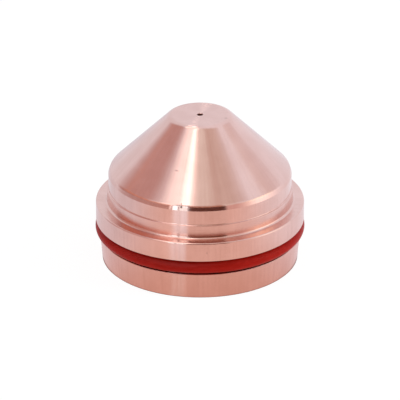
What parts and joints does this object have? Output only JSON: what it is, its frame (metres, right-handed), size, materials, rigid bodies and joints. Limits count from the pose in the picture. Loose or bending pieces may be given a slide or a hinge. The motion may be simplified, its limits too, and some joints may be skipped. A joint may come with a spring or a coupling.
{
  "type": "plasma torch nozzle",
  "caption": "Turned copper plasma torch nozzle with a conical nose, central orifice, stepped collars, a shouldered flange and a red seal ring in its groove.",
  "frame": {"origin": "centre of the foot face, on the torch axis", "axes": "+Z along the torch axis, out of the orifice"},
  "size_m": [0.0282, 0.0282, 0.0207],
  "materials": {
    "copper": "fine turned",
    "seal_rubber": "smooth moulded"
  },
  "bodies": {
    "root": {"nozzle_body": "copper", "o_ring": "seal_rubber"}
  },
  "joints": []
}
